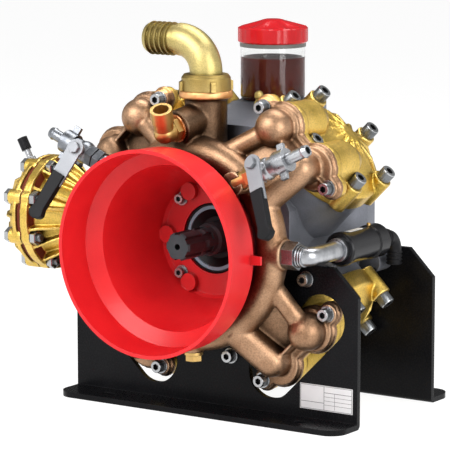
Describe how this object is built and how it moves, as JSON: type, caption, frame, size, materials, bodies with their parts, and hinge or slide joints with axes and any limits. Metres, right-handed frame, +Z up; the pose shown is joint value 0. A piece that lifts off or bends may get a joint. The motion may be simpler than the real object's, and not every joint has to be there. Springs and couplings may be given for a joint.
{
  "type": "diaphragm pump",
  "caption": "Shaft-driven diaphragm pump on folded foot brackets, with a bronze ring manifold, ribbed heads, a funnel shaft guard, oil cup, pulsation damper and outlet valves.",
  "frame": {"origin": "floor level, in the middle of the four foot slots", "axes": "+Z up, +Y from the splined shaft end towards the rear bracket, +X to the right of someone facing the shaft end; the shaft axis runs along Y at 0.214 m above the floor"},
  "size_m": [0.4755, 0.378, 0.4786],
  "materials": {
    "cast_grey": "satin casting",
    "gilt_head": "gold anodised casting",
    "bronze": "as-cast bronze",
    "black_plate": "black paint",
    "red_plastic": "moulded red",
    "black_carrier": "black",
    "seal_steel": "turned",
    "seal_rubber": "black rubber",
    "shaft_steel": "blackened steel",
    "bright_brass": "machined and bead blasted",
    "copper": "copper",
    "clear_cup": "clear plastic",
    "gear_oil": "brown oil",
    "grey_rubber": "grey rubber",
    "red_cap": "moulded red",
    "gilt_bell": "gold anodised casting",
    "red_rubber": "dark red rubber",
    "plated_steel": "zinc plated",
    "black_cap": "ribbed cap",
    "brass_nipple": "machined brass",
    "valve_nickel": "nickel plated brass",
    "lever_steel": "zinc plated",
    "black_grip": "moulded grip",
    "relief_chrome": "nickel plated",
    "black_valve": "black anodised",
    "black_tail": "moulded nylon"
  },
  "bodies": {
    "pump": {"crankcase": "cast_grey", "front_cover": "cast_grey", "rear_cover": "cast_grey", "head_1": "gilt_head", "head_2": "gilt_head", "head_3": "gilt_head", "head_4": "gilt_head", "manifold": "bronze", "front_bracket": "black_plate", "rear_bracket": "black_plate", "shaft_guard": "red_plastic", "seal_carrier": "black_carrier", "seal_ring": "seal_steel", "lip_seal": "seal_rubber", "suction_elbow": "bright_brass", "suction_nut": "bright_brass", "branch_washer": "copper", "branch_elbow": "bright_brass", "oil_cup": "clear_cup", "oil": "gear_oil", "cap_seal": "grey_rubber", "oil_cap": "red_cap", "accumulator_inner": "gilt_bell", "accumulator_outer": "gilt_bell", "accumulator_diaphragm": "red_rubber", "air_valve_stem": "plated_steel", "air_valve_cap": "black_cap", "right_valve_nipple": "brass_nipple", "right_valve_body": "valve_nickel", "right_valve_nut": "valve_nickel", "right_valve_tail": "valve_nickel", "left_valve_nipple": "valve_nickel", "left_valve_body": "valve_nickel", "left_valve_nut": "valve_nickel", "left_valve_tail": "valve_nickel", "relief_nut": "relief_chrome", "relief_elbow": "relief_chrome", "relief_body": "black_valve", "relief_tail": "black_tail", "drain_plug": "bright_brass"},
    "shaft": {"pto_shaft": "shaft_steel"},
    "right_lever": {"right_valve_lever": "lever_steel", "right_valve_grip": "black_grip"},
    "left_lever": {"left_valve_lever": "lever_steel", "left_valve_grip": "black_grip"}
  },
  "joints": [
    {"name": "shaft_spin", "type": "hinge", "parent": "pump", "child": "shaft", "pos_m": [0, -0.12, 0.214], "axis": [0, -1, 0], "continuous": true},
    {"name": "right_lever_turn", "type": "hinge", "parent": "pump", "child": "right_lever", "pos_m": [0.12584, -0.19518, 0.32749], "axis": [-0.1583, -0.9272, 0.3395], "range_deg": [-8, 82]},
    {"name": "left_lever_turn", "type": "hinge", "parent": "pump", "child": "left_lever", "pos_m": [-0.13103, -0.19549, 0.3272], "axis": [-0.1309, 0.9397, -0.316], "range_deg": [-4, 86]}
  ]
}
